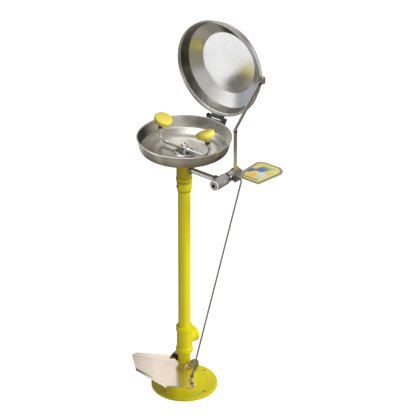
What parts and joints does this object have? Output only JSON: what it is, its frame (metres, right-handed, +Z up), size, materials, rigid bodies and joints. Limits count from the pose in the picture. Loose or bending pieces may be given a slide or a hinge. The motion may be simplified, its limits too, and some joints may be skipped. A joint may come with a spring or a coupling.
{
  "type": "eyewash station",
  "caption": "Floor-standing eyewash with a stainless bowl, angled spray heads and a hinged dust cover; a push flag or a foot treadle opens its ball valve.",
  "frame": {"origin": "centre of the floor flange's underside, on the floor and on the post's axis", "axes": "+Z up along the post; the user stands on the -Y side; +X is the user's right, towards the valve and push flag; +Y is the back, where the cover is hinged"},
  "size_m": [0.4614, 0.4072, 1.3051],
  "materials": {
    "yellow_enamel": "gloss",
    "yellow_plastic": "gloss",
    "stainless": "brushed",
    "stainless_satin": "satin",
    "chrome": "polished",
    "brass": "machined",
    "dark_steel": "dark",
    "black_rubber": "matte",
    "black_plastic": "matte",
    "white_plastic": "matte",
    "foam": "open cell",
    "sign_face": "printed"
  },
  "bodies": {
    "station": {"floor_flange": "yellow_enamel", "lower_nipple": "yellow_enamel", "drain_tee": "yellow_enamel", "pedestal_pipe": "yellow_enamel", "top_coupling": "yellow_enamel", "coupling_screw": "black_plastic", "bowl": "stainless", "drain_spud": "brass", "bowl_gasket": "black_rubber", "bowl_locknut": "brass", "drain_strainer": "chrome", "riser_pipe": "chrome", "yoke_body": "chrome", "yoke_cap": "chrome", "yoke_nuts": "chrome", "left_arm": "chrome", "right_arm": "chrome", "head_nuts": "dark_steel", "flow_controls": "white_plastic", "foam_filters": "foam", "left_head_cup": "yellow_plastic", "right_head_cup": "yellow_plastic", "left_spray_face": "yellow_plastic", "right_spray_face": "yellow_plastic", "supply_pipe": "chrome", "supply_nuts": "chrome", "strainer_body": "chrome", "strainer_plug": "dark_steel", "strainer_seal": "black_rubber", "strainer_screen": "stainless", "union_nut": "dark_steel", "valve_body": "chrome", "inlet_end_cap": "dark_steel", "valve_seats": "white_plastic", "stem_packing": "white_plastic", "packing_nut": "dark_steel", "bowl_hinge_leaf": "dark_steel", "hinge_pin": "stainless", "hinge_stop": "black_plastic", "hinge_rivets": "stainless", "treadle_bolt": "stainless", "treadle_nut": "stainless", "treadle_washers": "stainless", "treadle_spacers": "black_plastic"},
    "handle": {"lever": "stainless", "push_flag": "stainless", "flag_label": "sign_face", "lever_nut": "dark_steel", "lever_link_pin": "dark_steel", "valve_stem": "stainless", "valve_ball": "chrome"},
    "link": {"cover_link": "stainless"},
    "cover": {"dust_cover": "stainless", "cover_lug": "stainless", "cover_link_pin": "dark_steel", "cover_hinge_leaf": "dark_steel"},
    "rod": {"pull_rod": "stainless", "rod_clip": "stainless", "rod_nuts": "stainless"},
    "treadle": {"treadle": "stainless_satin"}
  },
  "joints": [
    {"name": "handle_turn", "type": "hinge", "parent": "station", "child": "handle", "pos_m": [0.178, 0.042, 0.847], "axis": [1, 0, 0], "range_deg": [0, 90]},
    {"name": "cover_hinge", "type": "hinge", "parent": "station", "child": "cover", "pos_m": [0, 0.175, 0.9635], "axis": [1, 0, 0], "range_deg": [0, 90]},
    {"name": "link_pivot", "type": "hinge", "parent": "handle", "child": "link", "pos_m": [0.174, 0.042, 1.02], "axis": [1, 0, 0], "range_deg": [-90, 0]},
    {"name": "rod_pivot", "type": "hinge", "parent": "handle", "child": "rod", "pos_m": [0.178, 0.062, 0.838], "axis": [1, 0, 0], "range_deg": [-90, 0]},
    {"name": "treadle_pivot", "type": "hinge", "parent": "station", "child": "treadle", "pos_m": [0, 0, 0.09], "axis": [0.9903, -0.1392, 0], "range_deg": [-19.8, 0]}
  ],
  "couplings": [
    {"joint": "cover_hinge", "follows": "handle_turn", "ratio": 1},
    {"joint": "link_pivot", "follows": "handle_turn", "ratio": -1},
    {"joint": "rod_pivot", "follows": "handle_turn", "ratio": -0.987},
    {"joint": "treadle_pivot", "follows": "handle_turn", "ratio": -0.22}
  ]
}
